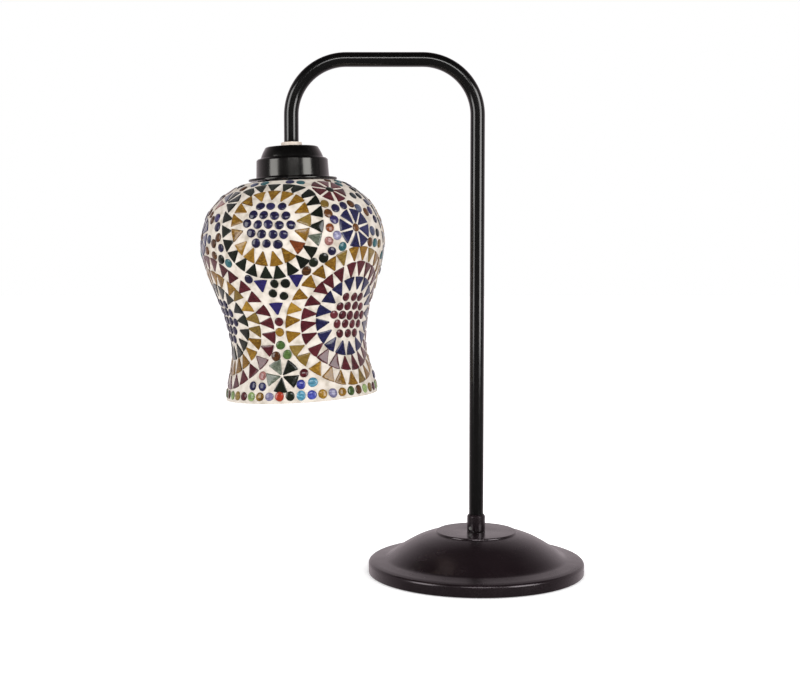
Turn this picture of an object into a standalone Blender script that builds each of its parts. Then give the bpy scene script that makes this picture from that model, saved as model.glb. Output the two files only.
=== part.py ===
"""Mosaic glass table lamp: a swan-neck metal stand whose arm carries a hanging mosaic glass shade.

Metres, +Z up. The origin is the centre of the base on the table and the arm reaches towards -X.
Lengths below are in millimetres and MM turns them into metres.
"""

import math

import bmesh
import bpy
from mathutils import Vector

MM = 0.001
GAP = 0.3  # clearance that neighbouring solids keep

# Stand
TUBE_R = 6.35  # half-inch tube
TUBE_BORE_R = 5.25
TUBE_BOTTOM = 42.3
TUBE_END = 379.3  # open end of the arm, where the head screws in
ARM_LEVEL = 450.3  # centre line of the horizontal run
REACH = 162.2
BEND_R = 48.0

# Base
BASE_R = 95.5
DISC_R = 35.8
DISC_TOP = 36.8
SHELL_T = 1.3
SOCKET_R = 8.0
SOCKET_TOP = 51.5
NIPPLE_R = 5.0
FLEX_R = 2.0
FLEX_LEVEL = 5.6  # height at which the flex enters the base
GRUB_LEVEL = 39.8
GRUB_TURN = math.radians(-133)  # direction of the grub screw about the column

# Head: heights are measured along its own axis from the end of the arm
HEAD_LEAN = math.radians(-2.0)
PLATE = -4.2  # top of the gallery
FLANGE = -33.4  # underside of the gallery
SKIRT_R = 19.7
RING_TOP = -39.3

# Shade: heights are measured along its own axis from the gallery
SHADE_LEAN = math.radians(-3.1)
SHADE_SEAT = (-164.1, 0.0, 346.0)
SHADE_TOP = 1.2
NECK_R = 25.0
SKIN_T = 2.0  # tiles and grout
GLASS_T = 2.3
# Outside of the shade as (drop below the gallery, radius)
SHADE_LINE = [
    (SHADE_TOP, 40.6),
    (7, 52.8),
    (17.4, 66),
    (31.3, 75.5),
    (52.3, 80.6),
    (73, 77.5),
    (94, 70.8),
    (117, 63.2),
    (147, 59.1),
    (172, 64.4),
    (188, 67),
]

# Bulb: heights along the head's axis
BULB_TIP = -38.5
BULB_CAP_R = 13.2
GLOBE_R = 30.0
GLOBE_LEVEL = -112.5


def clear_scene():
    for thing in list(bpy.data.objects):
        bpy.data.objects.remove(thing, do_unlink=True)


def material(name, colour, roughness, metallic=0.0, alpha=1.0):
    """A Principled material in linear colour."""
    made = bpy.data.materials.new(name)
    made.use_nodes = True
    shader = made.node_tree.nodes["Principled BSDF"]
    shader.inputs["Base Color"].default_value = (*colour, 1.0)
    shader.inputs["Roughness"].default_value = roughness
    shader.inputs["Metallic"].default_value = metallic
    shader.inputs["Alpha"].default_value = alpha
    made.diffuse_color = (*colour, alpha)
    return made


def empty(name, place=(0, 0, 0), lean=0.0, parent=None):
    """An axis marker at place (mm), leaning about Y."""
    made = bpy.data.objects.new(name, None)
    bpy.context.scene.collection.objects.link(made)
    made.location = Vector(place) * MM
    made.rotation_euler = (0, lean, 0)
    made.parent = parent
    return made


def solid(name, bm, surface, parent=None):
    """Links the finished bmesh as one named object, with its faces turned outwards."""
    bmesh.ops.remove_doubles(bm, verts=bm.verts, dist=1e-7)
    bmesh.ops.recalc_face_normals(bm, faces=bm.faces)
    mesh = bpy.data.meshes.new(name)
    bm.to_mesh(mesh)
    bm.free()
    mesh.materials.append(surface)
    made = bpy.data.objects.new(name, mesh)
    bpy.context.scene.collection.objects.link(made)
    made.parent = parent
    return made


def turned(name, outline, surface, parent=None, steps=24):
    """A solid of revolution about its own Z. outline is (radius, height) in mm.

    An outline that starts on the axis also ends on it; any other outline is a closed loop.
    """
    bm = bmesh.new()
    points = [bm.verts.new((r * MM, 0, z * MM)) for r, z in outline]
    if outline[0][0] > 0:
        points.append(points[0])
    edges = [bm.edges.new(pair) for pair in zip(points[:-1], points[1:])]
    bmesh.ops.spin(
        bm, geom=edges + points[: len(outline)], cent=(0, 0, 0), axis=(0, 0, 1),
        angle=math.tau, steps=steps, use_merge=True,
    )
    bmesh.ops.remove_doubles(bm, verts=bm.verts, dist=1e-7)
    return solid(name, bm, surface, parent)


def band(inner, outer, bottom, top):
    """Outline of a plain ring."""
    return [(outer, top), (outer, bottom), (inner, bottom), (inner, top)]


def arc(centre_r, centre_z, radius, start, end, count):
    """Points along an arc in an outline; angles in degrees, 0 outwards and 90 upwards."""
    angles = [math.radians(start + (end - start) * i / count) for i in range(count + 1)]
    return [(centre_r + radius * math.cos(a), centre_z + radius * math.sin(a)) for a in angles]


def smooth(points, per_span):
    """A Catmull-Rom curve through the points."""
    ends = [points[0]] + list(points) + [points[-1]]
    line = []
    for a, b, c, d in zip(ends, ends[1:], ends[2:], ends[3:]):
        for step in range(per_span):
            t = step / per_span
            line.append(tuple(
                0.5 * (2 * q + (r - p) * t + (2 * p - 5 * q + 4 * r - s) * t * t
                       + (3 * q - p - 3 * r + s) * t ** 3)
                for p, q, r, s in zip(a, b, c, d)
            ))
    return line + [tuple(points[-1])]


def inset(line, depth):
    """The (drop, radius) line moved inwards at right angles to itself."""
    moved = []
    for i, (drop, radius) in enumerate(line):
        before = line[max(i - 1, 0)]
        after = line[min(i + 1, len(line) - 1)]
        along = Vector((after[0] - before[0], after[1] - before[1])).normalized()
        moved.append((drop + depth * along.y, radius - depth * along.x))
    return moved


def as_outline(line):
    """(drop, radius) turned into (radius, height)."""
    return [(radius, -drop) for drop, radius in line]


def hex_nut(name, flats, bore, bottom, top, surface, parent=None):
    """A hexagonal nut with a round bore."""
    bm = bmesh.new()
    half = flats / 2
    rings = []
    for level in (bottom, top):
        outer, inner = [], []
        for k in range(12):
            angle = math.tau * k / 12
            reach = half if k % 2 else half / math.cos(math.pi / 6)
            turn = Vector((math.cos(angle), math.sin(angle), 0))
            outer.append(bm.verts.new((turn * reach + Vector((0, 0, level))) * MM))
            inner.append(bm.verts.new((turn * bore + Vector((0, 0, level))) * MM))
        rings.append((outer, inner))
    (low_out, low_in), (high_out, high_in) = rings
    for k in range(12):
        n = (k + 1) % 12
        bm.faces.new((low_out[k], low_out[n], high_out[n], high_out[k]))
        bm.faces.new((low_in[n], low_in[k], high_in[k], high_in[n]))
        bm.faces.new((high_out[k], high_out[n], high_in[n], high_in[k]))
        bm.faces.new((low_out[n], low_out[k], low_in[k], low_in[n]))
    return solid(name, bm, surface, parent)


def pipe(name, route, radius, surface, bore=0.0, side=(0, 1, 0), sides=16, parent=None):
    """A round bar or tube along a flat route; side is square to the route's plane."""
    bm = bmesh.new()
    side = Vector(side)
    route = [Vector(point) for point in route]

    def loops(size):
        made = []
        for i, point in enumerate(route):
            along = (route[min(i + 1, len(route) - 1)] - route[max(i - 1, 0)]).normalized()
            across = side.cross(along)
            made.append([
                bm.verts.new((point + (across * math.cos(a) + side * math.sin(a)) * size) * MM)
                for a in (math.tau * k / sides for k in range(sides))
            ])
        for low, high in zip(made[:-1], made[1:]):
            for k in range(sides):
                n = (k + 1) % sides
                bm.faces.new((low[k], low[n], high[n], high[k]))
        return made

    outer = loops(radius)
    if bore:
        inner = loops(bore)
        for rim, hole in ((outer[0], inner[0]), (outer[-1], inner[-1])):
            for k in range(sides):
                n = (k + 1) % sides
                bm.faces.new((rim[k], rim[n], hole[n], hole[k]))
    else:
        bm.faces.new(outer[0])
        bm.faces.new(outer[-1])
    return solid(name, bm, surface, parent)


def cut(part, cutter):
    """Takes the cutter's shape out of the part."""
    cutter.hide_render = True
    cutter.display_type = "WIRE"
    take = part.modifiers.new("cut", "BOOLEAN")
    take.operation = "DIFFERENCE"
    take.object = cutter


def bend(centre, radius, start, end, count=8):
    """Points of a quarter bend in the XZ plane."""
    angles = [math.radians(start + (end - start) * i / count) for i in range(count + 1)]
    return [(centre[0] + radius * math.cos(a), 0, centre[1] + radius * math.sin(a)) for a in angles]


def neck_route(bottom, end):
    """Centre line of the swan neck, from the socket up, across and down."""
    level = ARM_LEVEL - BEND_R
    return (
        [(0, 0, bottom)]
        + bend((-BEND_R, level), BEND_R, 0, 90)
        + bend((BEND_R - REACH, level), BEND_R, 90, 180)
        + [(-REACH, 0, end)]
    )


def base_parts(black, iron, steel, felt, rubber, cord):
    dome = [
        (DISC_R - 0.8, DISC_TOP), (DISC_R, DISC_TOP - 0.5), (DISC_R + 0.3, DISC_TOP - 1.5),
        (42, 33.8), (48, 31.8), (54, 29.3), (60, 26.1), (66, 22.5), (71, 19.2),
        (75.5, 15.9), (79.5, 13.6), (84, 12.7), (91, 11.7), (94, 10.9), (BASE_R - 0.4, 9.9),
        (BASE_R, 8.9),
    ]
    under = [
        (BASE_R - SHELL_T, 8.6), (92.5, 9.9), (84, 11.2), (79, 12.2), (74.8, 14.5), (65.2, 21.0),
        (53.2, 27.9), (41.6, 32.2), (34.6, DISC_TOP - SHELL_T), (NIPPLE_R + GAP, DISC_TOP - SHELL_T),
    ]
    shell = turned(
        "base_shell",
        [(NIPPLE_R + GAP, DISC_TOP)] + dome + [(BASE_R, 0.6), (BASE_R - SHELL_T, 0.6)] + under,
        black, steps=48,
    )
    back = math.radians(-90)
    wall_hole = turned("grommet_hole", [(0, 6), (3.4, 6), (3.4, -6), (0, -6)], steel, steps=16)
    wall_hole.location = Vector((0, BASE_R, FLEX_LEVEL)) * MM
    wall_hole.rotation_euler = (back, 0, 0)
    cut(shell, wall_hole)
    grommet = turned(
        "cord_grommet",
        [(3.8, 1.5), (3.8, GAP), (3.0, GAP), (3.0, -3.0), (2.3, -3.0), (2.3, 1.5)],
        rubber, steps=16,
    )
    grommet.location = Vector((0, BASE_R, FLEX_LEVEL)) * MM
    grommet.rotation_euler = (back, 0, 0)

    weight = turned(
        "base_weight",
        [(8.5, 26), (52, 26), (74, 11), (76, 3.6), (17, 3.6), (17, 16), (8.5, 16)],
        iron, steps=36,
    )
    bm = bmesh.new()
    bmesh.ops.create_cube(bm, size=1.0)
    groove = solid("flex_groove", bm, iron)
    groove.scale = Vector((7, 70, 8)) * MM
    groove.location = Vector((0, 48, 5)) * MM
    cut(weight, groove)

    turned("bottom_cover", band(15, 92, 2.2, 3.2), steel, steps=48)
    turned("felt_pad", [(0, 1.9), (93, 1.9), (93, 0), (0, 0)], felt, steps=48)
    turned("base_nipple", band(3.5, NIPPLE_R, 10.2, 41.2), steel, steps=16)
    turned("base_washer", band(NIPPLE_R + GAP, 13.5, 14.3, 15.7), steel, steps=20)
    hex_nut("base_nut", 15, NIPPLE_R + GAP, 10.5, 14.0, steel)

    socket = turned(
        "stem_socket",
        [(6.65, SOCKET_TOP), (7.0, SOCKET_TOP), (SOCKET_R, SOCKET_TOP - 1.6),
         (SOCKET_R, DISC_TOP + GAP), (NIPPLE_R + GAP, DISC_TOP + GAP), (NIPPLE_R + GAP, 42),
         (6.65, 42)],
        black, steps=24,
    )
    screw_place = Vector((math.cos(GRUB_TURN), math.sin(GRUB_TURN), 0))
    tapped = turned("grub_hole", [(0, 5), (1.8, 5), (1.8, -5), (0, -5)], steel, steps=12)
    grub = turned(
        "grub_screw",
        [(0, 0.6), (0.8, 0.6), (0.8, 1.4), (1.5, 1.4), (1.5, -1.1), (0, -1.1)],
        steel, steps=12,
    )
    for piece in (tapped, grub):
        piece.location = (screw_place * 6.7 + Vector((0, 0, GRUB_LEVEL))) * MM
        piece.rotation_euler = (0, math.radians(90), GRUB_TURN)
    cut(socket, tapped)

    flex = [(0, BASE_R - 3.3, FLEX_LEVEL), (0, 60, FLEX_LEVEL), (0, 30, FLEX_LEVEL)]
    turn_r = 7.0
    for step in range(6):
        angle = math.radians(90 * step / 5)
        flex.append((0, turn_r - turn_r * math.sin(angle), FLEX_LEVEL + turn_r * (1 - math.cos(angle))))
    flex.append((0, 0, TUBE_BOTTOM + 2.4))
    pipe("flex_base", flex, FLEX_R, cord, side=(1, 0, 0), sides=10)


def arm_parts(black, cord):
    pivot = empty("arm_swivel")
    pipe("arm_tube", neck_route(TUBE_BOTTOM, TUBE_END), TUBE_R, black, bore=TUBE_BORE_R, parent=pivot)
    pipe("flex_arm", neck_route(TUBE_BOTTOM + 2.7, TUBE_END + 4.7), FLEX_R, cord, sides=10, parent=pivot)
    return pivot


def gallery(black, head):
    """The stepped cap that closes the shade's neck."""
    outside = [(21.6, PLATE), (22.8, PLATE - 0.5)]
    outside += [(25.2, PLATE - 4.6), (27.0, PLATE - 9.6), (29.8, PLATE - 10.4), (31.0, PLATE - 11.6)]
    outside += [(31.7, -30.2), (32.6, -31.3), (38.1, -31.7), (38.5, -32.2), (38.5, -33.0), (38.1, FLANGE)]
    inside = [(30.7, FLANGE), (29.7, PLATE - 11.9), (25.9, PLATE - 10.8), (24.0, PLATE - 5.0), (21.4, PLATE - 1.2)]
    turned(
        "gallery_cap",
        [(5.2, PLATE)] + outside + inside + [(5.2, PLATE - 1.2)],
        black, head, steps=36,
    )


def holder_parts(brass, plastic, porcelain, head):
    """The lampholder that hangs inside the gallery."""
    turned(
        "holder_cap",
        [(5.2, -11.4), (7.4, -11.4), (8.0, -12.0), (8.0, -15.0), (14.5, -17.2), (18.6, -20.6),
         (SKIRT_R, -24.5), (SKIRT_R, -34.3), (18.2, -34.3), (18.2, -24.8), (17.2, -21.6),
         (13.8, -18.9), (7.5, -16.8), (5.2, -16.8)],
        plastic, head, steps=24,
    )
    turned("holder_skirt", band(18.2, SKIRT_R, -70, -34.6), plastic, head, steps=24)
    turned(
        "holder_core",
        [(0, -26), (16.0, -26), (16.8, -27), (16.8, -37), (5.2, -37), (5.2, -35), (0, -35)],
        porcelain, head, steps=20,
    )
    turned(
        "centre_contact",
        [(0, -35.3), (1.6, -35.3), (1.6, -37.3), (4.0, -37.3), (4.0, -38.1), (0, -38.1)],
        brass, head, steps=12,
    )
    turned(
        "screw_shell",
        [(8, -39.0), (13.9, -39.0), (14.5, -39.6), (14.5, -63), (13.8, -63), (13.8, -39.7), (8, -39.7)],
        brass, head, steps=24,
    )


def shade_ring_parts(plastic, fibre, head):
    turned("shade_washer", band(20.2, 28.5, -39.0, -37.8), fibre, head, steps=24)
    turned(
        "shade_ring",
        [(20.2, RING_TOP), (29, RING_TOP), (29, RING_TOP - 1.8), (24.5, RING_TOP - 2.4),
         (24, RING_TOP - 5.4), (20.2, RING_TOP - 5.4)],
        plastic, head, steps=24,
    )


def bulb_parts(brass, dark_glass, nickel, glass, head):
    turned(
        "bulb_tip",
        [(0, BULB_TIP), (3.4, BULB_TIP - 0.4), (4.6, BULB_TIP - 1.8), (0, BULB_TIP - 1.8)],
        brass, head, steps=12,
    )
    turned(
        "bulb_insulator",
        [(0, -40.6), (5.5, -40.6), (11.4, -44.4), (0, -44.4)],
        dark_glass, head, steps=16,
    )
    turned(
        "bulb_cap",
        [(11.6, -44.7), (12.7, -45.2), (BULB_CAP_R, -46.6), (BULB_CAP_R, -65.5), (12.6, -65.5), (12.6, -47),
         (11.6, -46.2)],
        nickel, head, steps=24,
    )
    outside = smooth(
        [(60, 12.1), (67, 12.6), (76, 15.8), (88, 22.5), (100, 28.0), (-GLOBE_LEVEL, GLOBE_R)], 2
    )
    outside = as_outline(outside) + arc(0, GLOBE_LEVEL, GLOBE_R, 0, -90, 6)[1:-1]
    wall = 0.9
    inside = [(r - wall, z) for r, z in outside if z > GLOBE_LEVEL] + arc(
        0, GLOBE_LEVEL, GLOBE_R - wall, 0, -90, 6
    )[:-1]
    turned(
        "bulb_glass",
        [(0, GLOBE_LEVEL - GLOBE_R + wall)] + inside[::-1] + outside + [(0, GLOBE_LEVEL - GLOBE_R)],
        glass, head, steps=24,
    )
    turned(
        "bulb_stem",
        [(0, -61), (9.6, -61), (5.5, -66), (3.0, -72), (3.0, -92), (0, -92)],
        glass, head, steps=12,
    )


def shade_parts(clear, mosaic):
    """The blown glass shade and the skin of tiles and grout over it."""
    seat = bpy.data.objects["shade_seat"]
    face = smooth(SHADE_LINE, 2)
    turned(
        "shade_mosaic",
        as_outline(face) + as_outline(inset(face, SKIN_T))[::-1],
        mosaic, seat, steps=40,
    )
    outer = as_outline(inset(face, SKIN_T + GAP))
    inner = as_outline(inset(face, SKIN_T + GAP + GLASS_T))
    plate_bottom = -SHADE_TOP - 2.4
    turned(
        "shade_glass",
        [(NECK_R, -SHADE_TOP), (36.3, -SHADE_TOP)] + outer + inner[::-1]
        + [(35.2, plate_bottom), (NECK_R, plate_bottom)],
        clear, seat, steps=40,
    )


def build():
    clear_scene()
    bpy.context.scene.unit_settings.scale_length = 1.0
    black = material("black_metal", (0.018, 0.014, 0.015), 0.32, 0.6)
    plastic = material("black_plastic", (0.02, 0.02, 0.02), 0.4)
    cream = material("cream_plastic", (0.74, 0.66, 0.57), 0.35)
    steel = material("zinc_steel", (0.55, 0.55, 0.53), 0.35, 1.0)
    nickel = material("nickel", (0.62, 0.6, 0.55), 0.25, 1.0)
    brass = material("brass", (0.75, 0.58, 0.28), 0.3, 1.0)
    iron = material("cast_iron", (0.07, 0.07, 0.075), 0.6, 0.8)
    felt = material("felt", (0.02, 0.02, 0.022), 0.95)
    rubber = material("rubber", (0.015, 0.015, 0.015), 0.7)
    cord = material("cord_pvc", (0.02, 0.02, 0.02), 0.5)
    porcelain = material("porcelain", (0.85, 0.83, 0.78), 0.3)
    fibre = material("fibre", (0.35, 0.16, 0.1), 0.8)
    dark_glass = material("insulator", (0.02, 0.01, 0.02), 0.2)
    clear = material("clear_glass", (0.86, 0.87, 0.85), 0.1, 0.0, 0.4)
    mosaic = material("mosaic", (0.45, 0.36, 0.34), 0.2)

    base_parts(black, iron, steel, felt, rubber, cord)
    arm = arm_parts(black, cord)
    head = empty("head_swivel", (-REACH, 0, TUBE_END), HEAD_LEAN, arm)
    seat = empty("shade_seat")
    seat.location = (Vector(SHADE_SEAT) - Vector((-REACH, 0, TUBE_END))) * MM
    seat.location.rotate(head.rotation_euler.to_matrix().inverted())
    seat.rotation_euler = (0, SHADE_LEAN - HEAD_LEAN, 0)
    seat.parent = head

    turned("head_nipple", band(3.2, 4.8, -18, 8), brass, head, steps=16)
    turned(
        "check_nut",
        [(5.2, -0.3), (8.6, -0.3), (9.1, -0.8), (9.1, -3.4), (8.6, -3.9), (5.2, -3.9)],
        cream, head, steps=24,
    )
    gallery(black, head)
    turned("lock_washer", band(5.2, 8.5, -7.2, -5.7), steel, head, steps=16)
    hex_nut("lock_nut", 14, 5.2, -11.0, -7.5, steel, head)
    pipe("flex_head", [(0, 0, 4.4), (0, 0, -10), (0, 0, -25)], FLEX_R, cord, sides=10, parent=head)
    holder_parts(brass, plastic, porcelain, head)
    shade_ring_parts(plastic, fibre, head)
    bulb_parts(brass, dark_glass, nickel, clear, head)
    shade_parts(clear, mosaic)


build()
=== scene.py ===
"""Visual model of the mosaic glass table lamp, laid over its CAD parts in the frame they share.

Lengths are in millimetres and MM turns them into metres; only the studio's are in metres. +Z is up, the arm
reaches towards -X and the camera looks along +Y.
"""

import math
import random

import bmesh
import bpy
import numpy as np
from mathutils import Matrix, Vector


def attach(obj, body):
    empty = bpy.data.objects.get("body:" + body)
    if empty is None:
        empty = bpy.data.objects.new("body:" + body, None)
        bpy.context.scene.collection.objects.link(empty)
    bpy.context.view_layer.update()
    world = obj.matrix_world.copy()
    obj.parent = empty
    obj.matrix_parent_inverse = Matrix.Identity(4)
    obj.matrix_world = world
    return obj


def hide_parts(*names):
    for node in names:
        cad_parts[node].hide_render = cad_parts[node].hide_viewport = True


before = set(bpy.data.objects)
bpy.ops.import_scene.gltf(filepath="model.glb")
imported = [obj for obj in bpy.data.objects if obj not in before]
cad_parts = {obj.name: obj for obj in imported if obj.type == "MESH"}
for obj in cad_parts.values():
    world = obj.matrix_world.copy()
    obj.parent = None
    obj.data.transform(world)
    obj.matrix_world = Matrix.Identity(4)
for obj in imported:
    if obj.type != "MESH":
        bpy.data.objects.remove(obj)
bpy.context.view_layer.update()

MM = 0.001
TURN = 2 * math.pi
ON_AXIS = 1e-6
SHARP_EDGE = 32  # degrees; a steeper edge is shaded as an edge
SOFT_EDGE = 50  # the same for tiles, whose fire-polished edges are soft
chance = random.Random(41)

# ---- Sizes, the same as the CAD's. Those of the stand are measured from the foot of the tube's axis ----
TUBE_R = 6.35
TUBE_BORE_R = 5.25
TUBE_BOTTOM = 42.3
TUBE_END = 379.3
ARM_LEVEL = 450.3
REACH = 162.2
BEND_R = 48.0
BASE_R = 95.5
DISC_R = 35.8
DISC_TOP = 36.8
SHELL_T = 1.3
BORE_R = 5.3
SOCKET_R = 8.0
SOCKET_BORE_R = 6.65
SOCKET_TOP = 51.5
SOCKET_SEAT = 42.0
GRUB_LEVEL = 39.8
GRUB_TURN = math.radians(-133)
GRUB_HOLE_R = 6.7  # how far the middle of the grub screw's hole is from the tube's axis
RIM_FOOT = 0.6
CORD_HOLE_R = 3.4
FLEX_LEVEL = 5.6
PAD_R = 93.0
PAD_T = 1.9
CORD_GROOVE = (7, 70, 8)
CORD_GROOVE_MIDDLE = (0, 48, 5)

# The head hangs from the end of the tube, where its heights are zero
HEAD_LEAN = math.radians(-2.0)
PLATE = -4.2
FLANGE = -33.4
RING_TOP = -39.3
KNURLS = 36
HOLDER_R = 19.7
HOLDER_BORE_R = 18.2
SKIRT_RIDGE = 2.5  # from one ridge of the lampholder's skirt to the next
CAP_R = 13.2
CAP_RIDGE = 3.3  # from one ridge of the bulb's cap to the next
GLOBE_R = 30.0
GLOBE_LEVEL = -112.5
BULB_WALL = 0.9

# The shade has a frame of its own, which leans a little more
SHADE_LEAN = math.radians(-3.1)
SHADE_SEAT = Vector((-164.1, 0.0, 346.0))
SKIN_T = 2.0
GAP = 0.3
GLASS_T = 2.3
SUNK = 0.4  # how far the faces of the tiles stand back from the nominal outline
GROUT_DEPTH = 0.26  # how far the grout stands back from the faces of the tiles
NECK_R = 25.0
SHADE_TOP = -1.2
CROWN_T = 2.4
# The shade's nominal face from its neck to its mouth: (drop, radius)
SHADE_LINE = [
    (1.2, 40.6), (7, 52.8), (17.4, 66), (31.3, 75.5), (52.3, 80.6), (73, 77.5), (94, 70.8),
    (117, 63.2), (147, 59.1), (172, 64.4), (188, 67),
]

STAND = Matrix.Identity(4)
HEAD = Matrix.Translation((-REACH, 0, TUBE_END)) @ Matrix.Rotation(HEAD_LEAN, 4, "Y")
SHADE = Matrix.Translation(SHADE_SEAT) @ Matrix.Rotation(SHADE_LEAN, 4, "Y")


# ---- Shapes ----
def catmull_rom(t, p, q, r, s):
    """The curve's value at share t of the way from q to r."""
    return 0.5 * (
        2 * q + (r - p) * t + (2 * p - 5 * q + 4 * r - s) * t * t + (3 * q - p - 3 * r + s) * t ** 3
    )


def smooth(points, per_span):
    """Catmull-Rom curve through the points."""
    ends = [points[0]] + list(points) + [points[-1]]
    line = []
    for a, b, c, d in zip(ends, ends[1:], ends[2:], ends[3:]):
        for step in range(per_span):
            line.append(tuple(catmull_rom(step / per_span, *values) for values in zip(a, b, c, d)))
    return line + [tuple(points[-1])]


def rounded(outline, radius, steps=4, least_turn=14):
    """The closed outline with its corners turned into arcs; gentle bends and points on the axis stay."""
    result = []
    count = len(outline)
    for i, corner in enumerate(outline):
        here = Vector(corner)
        before = Vector(outline[i - 1]) - here
        after = Vector(outline[(i + 1) % count]) - here
        turn = math.pi - before.angle(after) if before.length and after.length else 0
        if corner[0] < ON_AXIS or math.degrees(turn) < least_turn:
            result.append(tuple(here))
            continue
        reach = min(radius * math.tan(turn / 2), 0.45 * before.length, 0.45 * after.length)
        start = here + before.normalized() * reach
        end = here + after.normalized() * reach
        for step in range(steps + 1):
            t = step / steps
            result.append(tuple(start * (1 - t) ** 2 + here * 2 * t * (1 - t) + end * t * t))
    return result


def new_object(name, points, faces, finish, place=STAND, sharp=SHARP_EDGE, **layers):
    """A mesh object from points in millimetres in the frame place. A layer holds a value for every point."""
    matrix = np.array(place)
    world = (np.asarray(points, float) @ matrix[:3, :3].T + matrix[:3, 3]) * MM
    mesh = bpy.data.meshes.new(name)
    mesh.from_pydata(world.tolist(), [], faces)
    bm = bmesh.new()
    bm.from_mesh(mesh)
    bmesh.ops.recalc_face_normals(bm, faces=bm.faces)
    bm.to_mesh(mesh)
    bm.free()
    mesh.polygons.foreach_set("use_smooth", [True] * len(mesh.polygons))
    mesh.set_sharp_from_angle(angle=math.radians(sharp))
    for title, values in layers.items():
        layer = mesh.attributes.new(title, "FLOAT", "POINT")
        layer.data.foreach_set("value", values)
    mesh.materials.append(finish)
    obj = bpy.data.objects.new(name, mesh)
    bpy.context.scene.collection.objects.link(obj)
    return obj


def lathe(name, outline, finish, place=STAND, steps=96, shape=None):
    """Turns a closed outline of (radius, height) about the frame's Z axis.

    shape(angle, r, z) may move each point.
    """
    points = []
    rings = []
    for radius, height in outline:
        if radius < ON_AXIS:
            rings.append([len(points)])
            points.append((0, 0, height))
            continue
        rings.append(list(range(len(points), len(points) + steps)))
        for step in range(steps):
            angle = TURN * step / steps
            r, z = shape(angle, radius, height) if shape else (radius, height)
            points.append((r * math.cos(angle), r * math.sin(angle), z))
    faces = []
    for a, b in zip(rings, rings[1:] + rings[:1]):
        for step in range(steps):
            other = (step + 1) % steps
            face = [a[step % len(a)], a[other % len(a)], b[other % len(b)], b[step % len(b)]]
            face = list(dict.fromkeys(face))
            if len(face) > 2:
                faces.append(face)
    return new_object(name, points, faces, finish, place)


def sweep(name, route, sections, finish, sides):
    """Circles about a route in the XZ plane, joined in turn into one closed surface.

    Each section is (radius, stations of the route, shift along the route).
    """
    route = [Vector(p) for p in route]
    side = Vector((0, 1, 0))
    points = []
    rows = []
    for radius, stations, shift in sections:
        for index in stations:
            ahead = route[min(index + 1, len(route) - 1)] - route[max(index - 1, 0)]
            ahead.normalize()
            across = side.cross(ahead)
            centre = route[index] + ahead * shift
            rows.append(list(range(len(points), len(points) + sides)))
            for step in range(sides):
                angle = TURN * step / sides
                points.append(tuple(centre + (side * math.cos(angle) + across * math.sin(angle)) * radius))
    faces = []
    for a, b in zip(rows, rows[1:] + rows[:1]):
        for step in range(sides):
            other = (step + 1) % sides
            faces.append([a[step], a[other], b[other], b[step]])
    return new_object(name, points, faces, finish)


def carve(part, cutter):
    """Cuts the cutter out of the part and removes it."""
    modifier = part.modifiers.new("cut", "BOOLEAN")
    modifier.operation = "DIFFERENCE"
    modifier.solver = "EXACT"
    modifier.object = cutter
    graph = bpy.context.evaluated_depsgraph_get()
    mesh = bpy.data.meshes.new_from_object(part.evaluated_get(graph))
    part.modifiers.clear()
    part.data = mesh
    bpy.data.objects.remove(cutter)
    mesh.set_sharp_from_angle(angle=math.radians(SHARP_EDGE))


def drill(part, radius, reach, place, turn):
    """Drills a hole, reach to each side of place, along the Z axis turned by these Euler angles."""
    outline = [(0, reach), (radius, reach), (radius, -reach), (0, -reach)]
    hole = lathe("hole", outline, part.data.materials[0], steps=32)
    hole.location = Vector(place) * MM
    hole.rotation_euler = turn
    carve(part, hole)


def mill(part, size, place):
    """Mills a box of this size, centred on place, out of the part."""
    bm = bmesh.new()
    bmesh.ops.create_cube(bm, size=1.0)
    mesh = bpy.data.meshes.new("groove")
    bm.to_mesh(mesh)
    bm.free()
    groove = bpy.data.objects.new("groove", mesh)
    groove.scale = Vector(size) * MM
    groove.location = Vector(place) * MM
    bpy.context.scene.collection.objects.link(groove)
    carve(part, groove)


def finish_piece(obj, body, slot, *nodes):
    """The piece rides on the body and stands for the CAD nodes, which are hidden. slot is not used."""
    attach(obj, body)
    if nodes:
        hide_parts(*nodes)


# ---- Finishes ----
class Tree:
    """The nodes of a material or of the world."""

    def __init__(self, owner):
        owner.use_nodes = True
        self.nodes = owner.node_tree.nodes
        self.links = owner.node_tree.links

    def link(self, output, target):
        self.links.new(output, target)

    def ramp(self, factor, *stops):
        """Colours by factor: stops are (position, colour)."""
        node = self.nodes.new("ShaderNodeValToRGB")
        elements = node.color_ramp.elements
        while len(elements) < len(stops):
            elements.new(0.5)
        for element, (position, colour) in zip(elements, stops):
            element.position = position
            element.color = (*colour, 1)
        self.link(factor, node.inputs["Fac"])
        return node.outputs["Color"]

    def spread(self, factor, low, high, start=0.3, end=0.7):
        """Maps a factor's start..end onto low..high."""
        node = self.nodes.new("ShaderNodeMapRange")
        node.inputs["From Min"].default_value = start
        node.inputs["From Max"].default_value = end
        node.inputs["To Min"].default_value = low
        node.inputs["To Max"].default_value = high
        self.link(factor, node.inputs["Value"])
        return node.outputs["Result"]


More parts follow.
